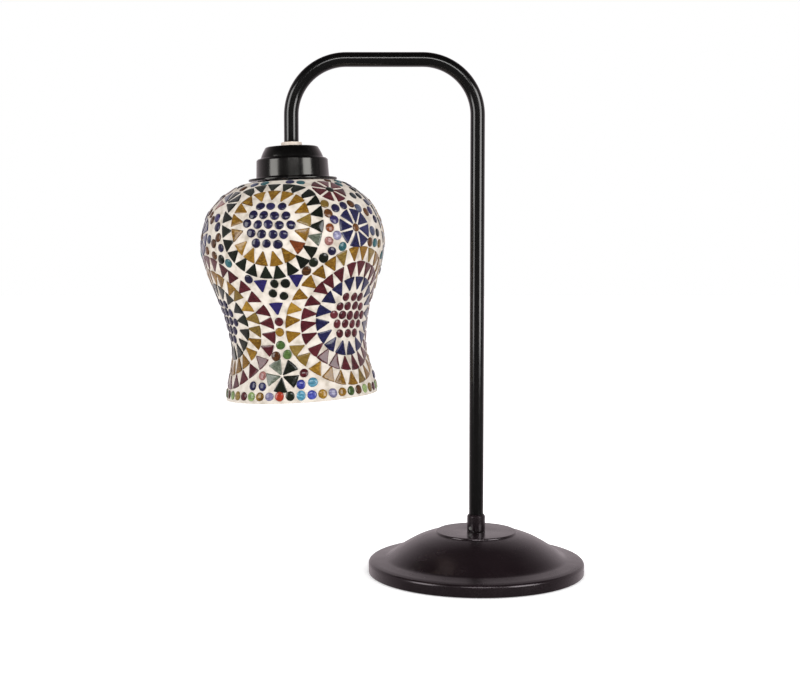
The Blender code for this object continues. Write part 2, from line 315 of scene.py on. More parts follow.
class Finish(Tree):
    """A procedural material: a Principled shader whose inputs come from noise at real scales."""

    def __init__(self, name):
        self.material = bpy.data.materials.new(name)
        super().__init__(self.material)
        self.shader = self.nodes["Principled BSDF"]
        self.place = self.nodes.new("ShaderNodeTexCoord").outputs["Object"]

    def noise(self, size, detail, distortion=0.0, stretch=(1, 1, 1)):
        """Noise whose features are about size millimetres across."""
        node = self.nodes.new("ShaderNodeTexNoise")
        node.inputs["Scale"].default_value = 1 / (size * MM)
        node.inputs["Detail"].default_value = detail
        node.inputs["Distortion"].default_value = distortion
        mapping = self.nodes.new("ShaderNodeMapping")
        mapping.inputs["Scale"].default_value = stretch
        self.link(self.place, mapping.inputs["Vector"])
        self.link(mapping.outputs["Vector"], node.inputs["Vector"])
        return node.outputs["Fac"]

    def layer(self, name):
        """The mesh layer of this name, a value for every point."""
        node = self.nodes.new("ShaderNodeAttribute")
        node.attribute_name = name
        return node.outputs["Fac"]

    def blend(self, factor, first, second):
        """Mixes two colour outputs by a factor output."""
        node = self.nodes.new("ShaderNodeMix")
        node.data_type = "RGBA"
        self.link(factor, node.inputs[0])
        self.link(first, node.inputs[6])
        self.link(second, node.inputs[7])
        return node.outputs[2]

    def colour(self, output):
        self.link(output, self.shader.inputs["Base Color"])

    def rough(self, output):
        self.link(output, self.shader.inputs["Roughness"])

    def bump(self, *layers):
        """Layers of (height output, depth in millimetres)."""
        normal = None
        for height, depth in layers:
            node = self.nodes.new("ShaderNodeBump")
            node.inputs["Strength"].default_value = 1.0
            node.inputs["Distance"].default_value = depth * MM
            self.link(height, node.inputs["Height"])
            if normal:
                self.link(normal, node.inputs["Normal"])
            normal = node.outputs["Normal"]
        self.link(normal, self.shader.inputs["Normal"])

    def set(self, **values):
        for name, value in values.items():
            self.shader.inputs[name.replace("_", " ")].default_value = value


def scaled(colour, factor):
    return tuple(min(1.0, channel * factor) for channel in colour)


def linear(red, green, blue):
    """Display colour values (0 to 255) as scene values."""
    return tuple(
        (value / 255 / 12.92) if value <= 10 else ((value / 255 + 0.055) / 1.055) ** 2.4
        for value in (red, green, blue)
    )


def paint(name, colour, sheen, roughness, peel, coat):
    """Sprayed metal paint: soft orange peel, faint cloudiness and patchy gloss. sheen tints reflections."""
    look = Finish(name)
    cloud = look.noise(26, 4)
    look.colour(look.ramp(cloud, (0.3, scaled(colour, 0.84)), (0.7, scaled(colour, 1.18))))
    look.rough(look.spread(look.noise(14, 4), roughness * 0.86, roughness * 1.18))
    look.bump((look.noise(4.5, 0), peel))
    look.set(Coat_Weight=coat, Coat_Roughness=roughness * 0.9, Specular_IOR_Level=0.6)
    look.set(Specular_Tint=(*sheen, 1))
    return look.material


def metal(name, colour, roughness, brushed=(1, 1, 1)):
    """Bare or plated metal with fine tooling marks and light tarnish."""
    look = Finish(name)
    look.colour(look.ramp(look.noise(7, 5), (0.32, scaled(colour, 0.8)), (0.62, colour)))
    look.rough(look.spread(look.noise(0.7, 3, 0, brushed), roughness * 0.7, roughness * 1.4))
    look.bump((look.noise(0.35, 2, 0, brushed), 0.006))
    look.set(Metallic=1.0)
    return look.material


def moulded(name, colour, roughness, grain, depth, contrast):
    """Plastic, rubber, porcelain, fibre, cast iron or felt. grain and depth are in millimetres."""
    look = Finish(name)
    cloud = look.noise(grain * 6, 4)
    look.colour(look.ramp(cloud, (0.3, scaled(colour, 1 - contrast)), (0.7, scaled(colour, 1 + contrast))))
    look.rough(look.spread(look.noise(grain * 2, 3), roughness * 0.9, min(1.0, roughness * 1.12)))
    look.bump((look.noise(grain, 3), depth))
    return look.material


def clear_glass(name, tint, roughness):
    """Blown glass: faint waves in its thickness and a breath of haze."""
    look = Finish(name)
    look.colour(look.ramp(look.noise(30, 2), (0.35, tint), (0.65, scaled(tint, 1.03))))
    look.rough(look.spread(look.noise(12, 3), roughness * 0.6, roughness * 2.0))
    look.bump((look.noise(22, 1), 0.05))
    look.set(Transmission_Weight=1.0, IOR=1.5)
    return look.material


def tile_glass(name, colour, streak):
    """Stained glass: each tile has its own tone, streaks, seeds and a fire-polished skin; painted shade
    darkens its rim, where it meets the grout.
    """
    look = Finish(name)
    tone = look.layer("tone")
    own = look.ramp(tone, (0.0, scaled(colour, 0.55)), (0.5, colour), (1.0, streak))
    flow = look.noise(4.2, 5, 1.6, (1, 1, 2.2))
    wisps = look.ramp(flow, (0.34, scaled(colour, 0.4)), (0.52, colour), (0.7, streak))
    share = look.spread(look.noise(9, 2), 0.3, 0.85)
    body = look.blend(share, own, wisps)
    # Painted shade: the darker colour that the mesh layer rim blends in at each tile's rim
    edge = look.ramp(tone, (0.0, scaled(colour, 0.3)), (1.0, scaled(colour, 0.6)))
    look.colour(look.blend(look.spread(look.layer("rim"), 0.0, 0.6, 0.5, 1.0), body, edge))
    look.rough(look.spread(look.noise(2.2, 3), 0.07, 0.17))
    look.bump((look.noise(4.5, 2, 0.4), 0.05), (look.noise(0.8, 2), 0.004))
    look.set(IOR=1.52, Sheen_Weight=0.4, Sheen_Roughness=0.35)
    return look.material


def grout_paste(name):
    """Cement grout: sandy, off-white, a little stained between the tiles."""
    look = Finish(name)
    stained = linear(166, 156, 142)
    usual = linear(197, 188, 177)
    clean = linear(210, 203, 194)
    look.colour(look.ramp(look.noise(7, 5), (0.3, stained), (0.5, usual), (0.75, clean)))
    look.rough(look.spread(look.noise(1.2, 3), 0.7, 0.92))
    look.bump((look.noise(2.4, 3), 0.12), (look.noise(0.4, 3), 0.04))
    return look.material


BLACK = (0.0018, 0.0016, 0.0016)
BROWN_BLACK = (0.0075, 0.0045, 0.0056)
black_satin = paint("satin black paint", BROWN_BLACK, (1.0, 0.88, 0.93), 0.24, peel=0.004, coat=0.15)
black_gloss = paint("tube black paint", BLACK, (1.0, 0.99, 0.98), 0.15, peel=0.0006, coat=0.08)
black_cup = paint("gallery black paint", BLACK, (1.0, 0.98, 0.92), 0.17, peel=0.0015, coat=0.15)
cream = moulded("cream plastic", linear(222, 208, 194), 0.35, 0.7, 0.01, 0.06)
zinc = metal("zinc plate", linear(190, 190, 186), 0.34)
nickel = metal("nickel plate", linear(205, 202, 194), 0.22, (1, 1, 8))
brass = metal("brass", linear(205, 170, 96), 0.28, (1, 1, 5))
iron = moulded("cast iron", linear(70, 70, 72), 0.62, 0.9, 0.08, 0.3)
felt = moulded("black felt", linear(34, 33, 35), 0.97, 0.35, 0.16, 0.35)
rubber = moulded("rubber", linear(28, 27, 27), 0.62, 0.6, 0.01, 0.15)
cord = moulded("cord sheath", linear(30, 29, 30), 0.46, 0.5, 0.008, 0.12)
plastic = moulded("black phenolic", linear(30, 28, 28), 0.34, 0.4, 0.006, 0.2)
porcelain = moulded("porcelain", linear(236, 232, 222), 0.18, 1.4, 0.01, 0.03)
fibre = moulded("fibre", linear(158, 96, 74), 0.8, 0.3, 0.03, 0.2)
dark_glass = moulded("black glass insulator", linear(26, 22, 30), 0.1, 1.2, 0.01, 0.2)
shade_clear = clear_glass("shade glass", (0.95, 0.97, 0.95), 0.05)
bulb_clear = clear_glass("bulb glass", (0.97, 0.985, 0.98), 0.03)
grout_finish = grout_paste("grout")


# ---- Base ----
def build_base_shell():
    disc = [
        (BORE_R, DISC_TOP), (DISC_R - 0.8, DISC_TOP), (DISC_R, DISC_TOP - 0.5),
        (DISC_R + 0.2, DISC_TOP - 1.1),
    ]
    flank = smooth(
        [(36.2, 35.3), (42, 33.8), (48, 31.8), (54, 29.3), (60, 26.1), (66, 22.5), (71, 19.2), (75.5, 15.9),
         (79.5, 13.6), (84, 12.7), (91, 11.7)], 5,
    )
    inner_r = BASE_R - SHELL_T
    rim = [(94, 10.9), (BASE_R - 0.4, 9.9), (BASE_R, 8.9), (BASE_R, RIM_FOOT), (inner_r, RIM_FOOT)]
    under = [
        (inner_r, 8.6), (92.5, 9.9), (84, 11.2), (79, 12.2), (74.8, 14.5), (65.2, 21.0), (53.2, 27.9),
        (41.6, 32.2), (34.6, DISC_TOP - SHELL_T), (BORE_R, DISC_TOP - SHELL_T),
    ]
    shell = lathe("base_dome", rounded(disc + flank + rim + under, 0.6), black_satin, steps=240)
    drill(shell, CORD_HOLE_R, 6, (0, BASE_R, FLEX_LEVEL), (math.radians(-90), 0, 0))
    finish_piece(shell, "base", "black_metal", "base_shell")


def build_stem_socket():
    outline = [
        (SOCKET_BORE_R, SOCKET_TOP), (7.0, SOCKET_TOP), (SOCKET_R, SOCKET_TOP - 1.6),
        (SOCKET_R, DISC_TOP + GAP), (BORE_R, DISC_TOP + GAP), (BORE_R, SOCKET_SEAT),
        (SOCKET_BORE_R, SOCKET_SEAT),
    ]
    socket = lathe("stem_collar", rounded(outline, 0.5), black_satin)
    middle = (GRUB_HOLE_R * math.cos(GRUB_TURN), GRUB_HOLE_R * math.sin(GRUB_TURN), GRUB_LEVEL)
    drill(socket, 1.8, 5, middle, (0, math.radians(90), GRUB_TURN))
    finish_piece(socket, "base", "black_metal", "stem_socket")


def build_felt_disc():
    pad = lathe("felt_disc", rounded([(0, PAD_T), (PAD_R, PAD_T), (PAD_R, 0), (0, 0)], 0.5), felt, steps=160)
    finish_piece(pad, "base", "felt", "felt_pad")


def build_cast_weight():
    outline = [(8.5, 26), (52, 26), (74, 11), (76, 3.6), (17, 3.6), (17, 16), (8.5, 16)]
    weight = lathe("cast_weight", rounded(outline, 1.5), iron)
    mill(weight, CORD_GROOVE, CORD_GROOVE_MIDDLE)
    finish_piece(weight, "base", "cast_iron", "base_weight")


# ---- Arm ----
BEND_STEPS = 28


def neck_route():
    """Stations along the tube's centre line, closer together in its two bends."""
    shoulder = ARM_LEVEL - BEND_R
    left = -REACH + BEND_R
    bend = [math.radians(90) * step / BEND_STEPS for step in range(1, BEND_STEPS + 1)]
    route = [(0, 0, TUBE_BOTTOM)]
    for share in range(1, 9):
        route.append((0, 0, TUBE_BOTTOM + (shoulder - TUBE_BOTTOM) * share / 8))
    for angle in bend:
        route.append((BEND_R * math.cos(angle) - BEND_R, 0, shoulder + BEND_R * math.sin(angle)))
    for share in range(1, 5):
        route.append((-BEND_R + (left + BEND_R) * share / 4, 0, ARM_LEVEL))
    for angle in bend:
        route.append((left - BEND_R * math.sin(angle), 0, shoulder + BEND_R * math.cos(angle)))
    for share in range(1, 4):
        route.append((-REACH, 0, shoulder + (TUBE_END - shoulder) * share / 3))
    return route


def build_arm():
    route = neck_route()
    last = len(route) - 1
    along = list(range(1, last))
    eased = TUBE_R - 0.08
    flat = TUBE_R - 0.3
    sections = [
        (TUBE_BORE_R, [0], 0.0), (flat, [0], 0.0), (eased, [0], 0.08), (TUBE_R, [0], 0.3),
        (TUBE_R, along, 0.0),
        (TUBE_R, [last], -0.3), (eased, [last], -0.08), (flat, [last], 0.0), (TUBE_BORE_R, [last], 0.0),
        (TUBE_BORE_R, along[::-1], 0.0),
    ]
    tube = sweep("swan_neck", route, sections, black_gloss, 64)
    finish_piece(tube, "arm", "black_metal", "arm_tube")


# ---- Head ----
def build_check_nut():
    outline = [(5.2, -0.3), (8.6, -0.3), (9.1, -0.8), (9.1, -3.4), (8.6, -3.9), (5.2, -3.9)]
    nut = lathe("pale_nut", rounded(outline, 0.35), cream, HEAD)
    finish_piece(nut, "head", "cream_plastic", "check_nut")


def build_gallery():
    outside = [(21.6, PLATE), (22.8, PLATE - 0.5)]
    outside += smooth([(23.3, PLATE - 1.2), (25.2, PLATE - 4.6), (26.5, PLATE - 7.6), (27.1, PLATE - 9.4)], 4)
    outside += [(28.2, PLATE - 10.1), (29.8, PLATE - 10.4), (31.0, PLATE - 11.6)]
    outside += [(31.7, -30.2), (32.6, -31.3), (38.1, -31.7), (38.5, -32.2), (38.5, -33.0), (38.1, FLANGE)]
    inside = [
        (30.7, FLANGE), (29.7, PLATE - 11.9), (25.9, PLATE - 10.8), (24.0, PLATE - 5.0), (21.4, PLATE - 1.2),
        (BORE_R, PLATE - 1.2),
    ]
    cap = lathe("gallery", rounded([(BORE_R, PLATE)] + outside + inside, 0.8), black_cup, HEAD, 160)
    finish_piece(cap, "head", "black_metal", "gallery_cap")


def build_holder_dome():
    outline = [
        (BORE_R, -11.4), (7.4, -11.4), (8.0, -12.0), (8.0, -15.0), (14.5, -17.2), (18.6, -20.6),
        (HOLDER_R, -24.5), (HOLDER_R, -34.3), (HOLDER_BORE_R, -34.3), (HOLDER_BORE_R, -24.8),
        (17.2, -21.6), (13.8, -18.9), (7.5, -16.8), (BORE_R, -16.8),
    ]
    holder = lathe("holder_dome", rounded(outline, 0.8), plastic, HEAD)
    finish_piece(holder, "head", "black_plastic", "holder_cap")


def build_threaded_skirt():
    """The ridges stand for the thread that the shade ring runs on."""
    root = HOLDER_R - 0.45
    outline = [(HOLDER_BORE_R, -34.6), (HOLDER_R, -34.6), (HOLDER_R, -38.9)]
    for ridge in range(11):
        top = -39.1 - SKIRT_RIDGE * ridge
        outline += [(HOLDER_R, top), (root, top - 0.7), (root, top - 1.4), (HOLDER_R, top - 2.1)]
    outline += [(HOLDER_R, -70), (HOLDER_BORE_R, -70)]
    skirt = lathe("threaded_skirt", rounded(outline, 0.25, 2), plastic, HEAD)
    finish_piece(skirt, "head", "black_plastic", "holder_skirt")


def build_ring():
    def knurl(angle, r, z):
        return (r + 0.35 * (math.cos(KNURLS * angle) - 1) if r > 28 else r), z

    outline = [
        (20.2, RING_TOP), (29, RING_TOP), (29, RING_TOP - 1.8), (24.5, RING_TOP - 2.4), (24, RING_TOP - 5.4),
        (20.2, RING_TOP - 5.4),
    ]
    ring = lathe("knurled_ring", rounded(outline, 0.4, 3), plastic, HEAD, 8 * KNURLS, knurl)
    finish_piece(ring, "clamp_ring", "black_plastic", "shade_ring")


# ---- Bulb ----
def build_bulb_cap():
    """The ridges stand for the E27 thread."""
    skin_r = CAP_R - 0.58
    outline = [(11.6, -44.7), (12.7, -45.2), (CAP_R, -46.6)]
    for ridge in range(5):
        top = -47.2 - CAP_RIDGE * ridge
        outline += [
            (CAP_R, top), (CAP_R - 0.45, top - 1.0), (CAP_R - 0.5, top - 1.6), (CAP_R - 0.1, top - 2.6),
        ]
    outline += [(CAP_R, -64.4), (CAP_R, -65.5), (skin_r, -65.5), (skin_r, -65), (12.5, -47), (11.6, -46.2)]
    cap = lathe("threaded_cap", rounded(outline, 0.4, 3), nickel, HEAD)
    finish_piece(cap, "bulb", "nickel", "bulb_cap")


def build_bulb_envelope():
    steps = 25
    neck = smooth([(60, 12.1), (67, 12.6), (76, 15.8), (88, 22.5), (100, 28.0), (-GLOBE_LEVEL, GLOBE_R)], 6)
    outer = [(r, -drop) for drop, r in neck]
    for step in range(1, steps):
        angle = math.radians(90) * step / steps
        outer.append((GLOBE_R * math.cos(angle), GLOBE_LEVEL - GLOBE_R * math.sin(angle)))
    outer.append((0, GLOBE_LEVEL - GLOBE_R))
    inner_r = GLOBE_R - BULB_WALL
    inner = []
    for r, z in outer:
        if z > GLOBE_LEVEL:
            inner.append((r - BULB_WALL, z))
        else:
            inner.append((r * inner_r / GLOBE_R, GLOBE_LEVEL + (z - GLOBE_LEVEL) * inner_r / GLOBE_R))
    globe = lathe("bulb_envelope", outer + inner[::-1], bulb_clear, HEAD, 128)
    finish_piece(globe, "bulb", "bulb_glass", "bulb_glass")


# ---- Shade ----
LINE = np.array(smooth(SHADE_LINE, 16))
DROPS = LINE[:, 0]
RADII = LINE[:, 1]
ARCS = np.concatenate([[0.0], np.cumsum(np.hypot(*np.diff(LINE, axis=0).T))])
SLOPES = np.gradient(RADII, DROPS)


def arc_of(drop):
    return float(np.interp(drop, DROPS, ARCS))


def on_shade(angle, arc, depth=0.0):
    """(point, outward normal) on the shade's face, in its own frame. angle is from the front, towards +X."""
    drop = np.interp(arc, ARCS, DROPS)
    slope = np.interp(drop, DROPS, SLOPES)
    length = np.sqrt(1 + slope ** 2)
    radius = np.interp(drop, DROPS, RADII) - depth / length
    height = -drop - depth * slope / length
    point = np.stack([radius * np.sin(angle), -radius * np.cos(angle), height], -1)
    normal = np.stack([np.sin(angle) / length, -np.cos(angle) / length, slope / length], -1)
    return point, normal


def radius_at(arc):
    return np.interp(np.interp(arc, ARCS, DROPS), DROPS, RADII)


# Waves in the grout's face: height, how many go round the shade, their length down it over 2 pi, phase
GROUT_WAVES = ((0.04, 31, 3.1, 0.4), (0.03, 57, 2.3, 1.9), (0.03, 83, 1.7, 4.2))


def build_grout():
    across = 300
    along = 160
    angles = TURN * np.arange(across) / across
    grid_angle, grid_arc = np.meshgrid(angles, np.linspace(0.0, ARCS[-1], along))
    wander = sum(
        size * np.sin(grid_angle * turns + phase) * np.sin(grid_arc / span + phase * 1.7)
        for size, turns, span, phase in GROUT_WAVES
    )
    outer, _ = on_shade(grid_angle, grid_arc, SUNK + GROUT_DEPTH + wander)
    inner, _ = on_shade(grid_angle, grid_arc, SKIN_T)
    points = np.concatenate([outer.reshape(-1, 3), inner[::-1].reshape(-1, 3)])
    rows = 2 * along
    faces = []
    for row in range(rows):
        low = row * across
        high = (row + 1) % rows * across
        for step in range(across):
            other = (step + 1) % across
            faces.append([low + step, high + step, high + other, low + other])
    skin = new_object("grout", points, faces, grout_finish, SHADE)
    finish_piece(skin, "head", "mosaic_glass", "shade_mosaic")


def inset(depth):
    """The shade's outline as (radius, height), this far inside its face."""
    line = []
    for drop, radius, slope in zip(DROPS, RADII, SLOPES):
        length = math.hypot(1, slope)
        line.append((radius - depth / length, -drop - depth * slope / length))
    return line[::3] + [line[-1]]


def build_blown_glass():
    outside = inset(SKIN_T + GAP)
    inside = inset(SKIN_T + GAP + GLASS_T)[::-1]
    under = SHADE_TOP - CROWN_T
    outline = [(NECK_R, SHADE_TOP), (36.3, SHADE_TOP)] + outside + inside + [(35.2, under), (NECK_R, under)]
    glass = lathe("blown_glass", outline, shade_clear, SHADE, 160)
    finish_piece(glass, "head", "clear_glass", "shade_glass")


class Mosaic:
    """Lays tiles on the shade and keeps one mesh for each colour."""

    # Rings of points from a tile's edge in to its crown: (share of the outline, height above the edge)
    FLAT = ((1.0, -0.75), (1.0, 0.0), (0.97, 0.18), (0.91, 0.31), (0.74, 0.4), (0.4, 0.45), (0, 0.46))
    DOMED = ((1.0, -0.75), (1.0, 0.0), (0.95, 0.3), (0.84, 0.56), (0.64, 0.8), (0.36, 0.97), (0, 1.04))
    # How much painted shade darkens the rim at the ring of points at the tile's back and at each of those
    # above
    RIM_SHADE = (1.0, 1.0, 1.0, 0.75, 0.35, 0.1, 0.0)
    BEDDED = 0.06  # how far a tile's back reaches past the inside of the skin
    MARGIN = 0.6  # tiles keep this far from the shade's two ends
    TILT = 0.012  # how unevenly the tiles are set
    TONE = (0.42, 0.27)  # the middle and the spread of the tiles' tones
    DOT_SIDES = 26
    BOW_STEPS = 6
    TIP_HALF = 0.6  # half the width of a cut tile's blunt tip

    def __init__(self):
        self.colours = {}
        self.spots = []
        self.sizes = []

    def free(self, spots, sizes, gap):
        """Whether discs at these places would keep clear of the tiles laid so far."""
        taken = np.array(self.spots)
        room = np.array(self.sizes)
        for spot, size in zip(spots, sizes):
            if (np.linalg.norm(taken - spot, axis=1) < room + size + gap).any():
                return False
        return True

    def lay(self, colour, angle, arc, outline, discs, gap, profile):
        """One tile with its outline in (across, up) millimetres about a point of the shade.

        discs are (across, up, radius) and cover the tile. With a gap, a tile whose discs come nearer than
        that to the tiles laid so far is left out.
        """
        outline = np.asarray(outline, float)
        arcs = arc - outline[:, 1]
        angles = angle + outline[:, 0] / radius_at(arcs)
        if arcs.min() < self.MARGIN or arcs.max() > ARCS[-1] - self.MARGIN:
            return
        spots = [on_shade(angle + x / radius_at(arc - y), arc - y)[0] for x, y, _ in discs]
        sizes = [radius for _, _, radius in discs]
        if gap is not None and not self.free(spots, sizes, gap):
            return
        self.spots += spots
        self.sizes += sizes
        back, _ = on_shade(angles, arcs, SKIN_T + self.BEDDED)
        face, _ = on_shade(angles, arcs, SUNK)
        middle_angle = angle + outline[:, 0].mean() / radius_at(arc)
        middle_arc = arc - outline[:, 1].mean()
        middle, normal = on_shade(middle_angle, middle_arc, SUNK)
        heel, _ = on_shade(middle_angle, middle_arc, SKIN_T + self.BEDDED)
        tilt = Vector([chance.gauss(0, self.TILT) for _ in range(3)])
        normal = normal + np.array(tilt)
        normal = normal / np.linalg.norm(normal)
        centre = middle + normal * ((face - middle) @ normal).mean()
        flat = face - np.outer((face - centre) @ normal, normal)
        rings = [back] + [centre + (flat - centre) * share + normal * rise for share, rise in profile[:-1]]
        self.add(colour, rings, centre + normal * profile[-1][1], heel)

    def add(self, colour, rings, crown, heel):
        """Adds one closed tile to its colour's mesh: rings of points between its heel and its crown."""
        points, faces, tones, rim_shades = self.colours.setdefault(colour, ([], [], [], []))
        start = len(points)
        count = len(rings[0])
        # Each point takes its share of the painted shade at the tile's rim
        for ring, rim in zip(rings, self.RIM_SHADE):
            points.extend(ring.tolist())
            rim_shades.extend([rim] * count)
        points += [crown.tolist(), heel.tolist()]
        rim_shades += [0.0, 1.0]
        top = start + (len(rings) - 1) * count
        for low in range(start, top, count):
            for step in range(count):
                other = (step + 1) % count
                faces.append([low + step, low + other, low + count + other, low + count + step])
        for step in range(count):
            other = (step + 1) % count
            faces.append([top + step, top + other, top + count])
            faces.append([start + other, start + step, top + count + 1])
        tone = min(1.0, max(0.0, chance.gauss(*self.TONE)))
        tones += [tone] * (len(points) - start)

    def dot(self, colour, angle, arc, radius, gap=None):
        """A round nugget, never quite round."""
        phase = chance.uniform(0, TURN)
        squash = chance.uniform(0.0, 0.05)
        outline = []
        for step in range(self.DOT_SIDES):
            turn = TURN * step / self.DOT_SIDES
            r = radius * (1 + squash * math.cos(2 * turn + phase) + 0.015 * math.cos(3 * turn - phase))
            outline.append((r * math.cos(turn), r * math.sin(turn)))
        self.lay(colour, angle, arc, outline, [(0, 0, radius)], gap, self.DOMED)

    def triangle(self, colour, angle, arc, corners, bulge, gap=None, soft=0.45):
        """A cut tile: the first corner is its tip and the side across from it bows outwards by the bulge."""
        tip, left, right = (Vector(corner) for corner in corners)
        side = right - left
        out = Vector((side.y, -side.x)).normalized()
        middle = (left + right) / 2
        if (middle - tip).dot(out) < 0:
            out = -out
        blunt = side.normalized() * self.TIP_HALF
        line = [tuple(tip - blunt), tuple((tip - blunt).lerp(left, 0.5)), tuple(left)]
        for step in range(1, self.BOW_STEPS):
            t = step / self.BOW_STEPS
            line.append(tuple(left.lerp(right, t) + out * bulge * 4 * t * (1 - t)))
        line += [tuple(right), tuple(right.lerp(tip + blunt, 0.5)), tuple(tip + blunt)]
        centre = (tip + left + right) / 3
        reach = (middle - tip).length
        width = side.length
        discs = [
            (*tip.lerp(middle, 0.72), 0.3 * min(reach, width)), (*tip.lerp(middle, 0.3), 0.12 * width),
            (*centre.lerp(left, 0.72), 0.1 * width), (*centre.lerp(right, 0.72), 0.1 * width),
        ]
        self.lay(colour, angle, arc, rounded_plane(line, soft), discs, gap, self.FLAT)

    def build(self, finishes):
        for colour, (points, faces, tones, rim_shades) in self.colours.items():
            name = "tiles_" + colour.replace(" ", "_")
            # The layer rim carries the painted shade at the tiles' rims
            tiles = new_object(name, points, faces, finishes[colour], SHADE, SOFT_EDGE, tone=tones, rim=rim_shades)
            finish_piece(tiles, "head", "mosaic_glass")


def rounded_plane(line, radius):
    """A closed plane outline with rounded corners, moved aside meanwhile so that no corner is on the axis."""
    aside = 1000
    shifted = [(x + aside, y) for x, y in line]
    return [(x - aside, y) for x, y in rounded(shifted, radius, 4, 25)]


# Tile colours: display values of the glass and of the wisps in it
GLASS = {
    "navy": ((24, 21, 48), (44, 40, 80)),
    "deep blue": ((23, 23, 58), (44, 44, 88)),
    "bright blue": ((30, 24, 78), (50, 44, 112)),
    "royal blue": ((40, 46, 118), (84, 92, 170)),
    "cyan": ((76, 134, 158), (130, 180, 196)),
    "teal": ((34, 76, 82), (70, 120, 124)),
    "slate": ((52, 56, 78), (90, 98, 122)),
    "lavender": ((104, 100, 130), (152, 150, 178)),
    "violet": ((40, 34, 76), (70, 58, 106)),
    "dark green": ((13, 17, 10), (25, 33, 21)),
    "green": ((52, 76, 34), (88, 112, 60)),
    "light green": ((110, 132, 78), (150, 168, 110)),
    "grey green": ((86, 93, 80), (126, 133, 118)),
    "olive": ((104, 82, 34), (142, 118, 60)),
    "amber": ((110, 76, 16), (158, 122, 42)),
    "brown": ((66, 38, 16), (108, 66, 30)),
    "rust": ((100, 48, 20), (140, 76, 38)),
    "red": ((140, 44, 26), (170, 70, 44)),
    "maroon": ((66, 19, 26), (100, 40, 46)),
    "rose": ((128, 84, 80), (170, 124, 116)),
    "dark glass": ((22, 25, 28), (42, 50, 54)),
}

PATTERN_TURN = -10.0  # degrees; the pattern repeats three times round the shade
THIRD = 120
UPPER_DROP = 38.7
LOWER_DROP = 118.4
MEDALLION_DOT_R = 3.8
HEART_R = 3.6
TILE_JOINT = 0.95  # grout between the outer corners of neighbours in a ring

# Rings of a medallion: inner radius, outer radius, tiles, turn of the first tile in radians
UPPER_INNER = (23.2, 34.8, 17, 0.05)
UPPER_OUTER = (35.0, 46.0, 23, -0.005)
LOWER_INNER = (22.2, 34.0, 17, 0.1)
LOWER_MIDDLE = (34.4, 47.0, 25, 0.03)
LOWER_OUTER = (47.9, 59.6, 30, 0.06)
LOWER_OUTER_LEFT = (47.9, 59.6, 30, 0.154)


def turned(turn, out, across):
    """A point of a medallion: out from its middle in the direction turn, then across that direction."""
    return (
        out * math.sin(turn) + across * math.cos(turn),
        out * math.cos(turn) - across * math.sin(turn),
    )


def ring_of_triangles(mosaic, colour, angle, arc, ring, odd=()):
    """Triangles pointing at the middle of a medallion, each a little off, as laid by hand.

    odd holds (place in the ring, colour) for tiles of another colour, or None as the colour of one left out.
    """
    inner, outer, count, start = ring
    odd = dict(odd)
    width = TURN * outer / count - TILE_JOINT
    for index in range(count):
        turn = start + TURN * index / count + chance.gauss(0, 0.012)
        tip_r = inner + chance.uniform(-0.5, 0.5)
        base_r = outer + chance.uniform(-0.4, 0.4) - 0.2
        half = width / 2 * chance.uniform(0.97, 1.02)
        lean = chance.gauss(0, 0.35)
        corners = [turned(turn, tip_r, lean), turned(turn, base_r, -half), turned(turn, base_r, half)]
        bulge = chance.uniform(0.5, 0.9)
        shown = odd.get(index, colour)
        if shown:
            mosaic.triangle(shown, angle, arc, corners, bulge)


def hexagon_of_dots(mosaic, colour, angle, arc, pitch, lean):
    """Nineteen nuggets in rows of 3, 4, 5, 4 and 3, each a little off."""
    for row in range(-2, 3):
        in_row = 5 - abs(row)
        for index in range(in_row):
            x = (index - (in_row - 1) / 2) * pitch + chance.gauss(0, 0.22)
            y = row * pitch * math.sqrt(3) / 2 + chance.gauss(0, 0.22)
            across = x * math.cos(lean) - y * math.sin(lean)
            up = x * math.sin(lean) + y * math.cos(lean)
            spot_arc = arc - up
            radius = MEDALLION_DOT_R + chance.gauss(0, 0.1)
            mosaic.dot(colour, angle + across / radius_at(spot_arc), spot_arc, radius)


def flower(mosaic, angle, drop, petals, inner, outer, width, heart, start, gap=None):
    """Petals round a nugget, the heart, where it has one. petals lists their colours in turn."""
    angle = math.radians(angle)
    arc = arc_of(drop)
    for index, colour in enumerate(petals):
        turn = start + TURN * index / len(petals) + chance.gauss(0, 0.03)
        half = width / 2 * chance.uniform(0.94, 1.04)
        corners = [turned(turn, inner, 0), turned(turn, outer, -half), turned(turn, outer, half)]
        mosaic.triangle(colour, angle, arc, corners, 0.7, gap, 0.5)
    if heart:
        mosaic.dot(heart, angle, arc, HEART_R)


def upper_medallion(mosaic, angle, dark_odd):
    arc = arc_of(UPPER_DROP)
    hexagon_of_dots(mosaic, "navy", angle, arc, 9.4, math.radians(-5))
    ring_of_triangles(mosaic, "amber", angle, arc, UPPER_INNER, ((6, "rust"), (4, "olive")))
    ring_of_triangles(mosaic, "dark green", angle, arc, UPPER_OUTER, dark_odd)


def lower_medallion(mosaic, angle, colours, outer_ring, olive_middle, olive_outer):
    """colours go from the nuggets in the middle to the outer ring; some tiles of the outer two are olive."""
    arc = arc_of(LOWER_DROP)
    hexagon_of_dots(mosaic, colours[0], angle, arc, 9.0, math.radians(-4))
    ring_of_triangles(mosaic, colours[1], angle, arc, LOWER_INNER)
    odd = [(index, "olive") for index in olive_middle]
    ring_of_triangles(mosaic, colours[2], angle, arc, LOWER_MIDDLE, odd)
    odd = [(index, "olive") for index in olive_outer]
    ring_of_triangles(mosaic, colours[3], angle, arc, outer_ring, odd)


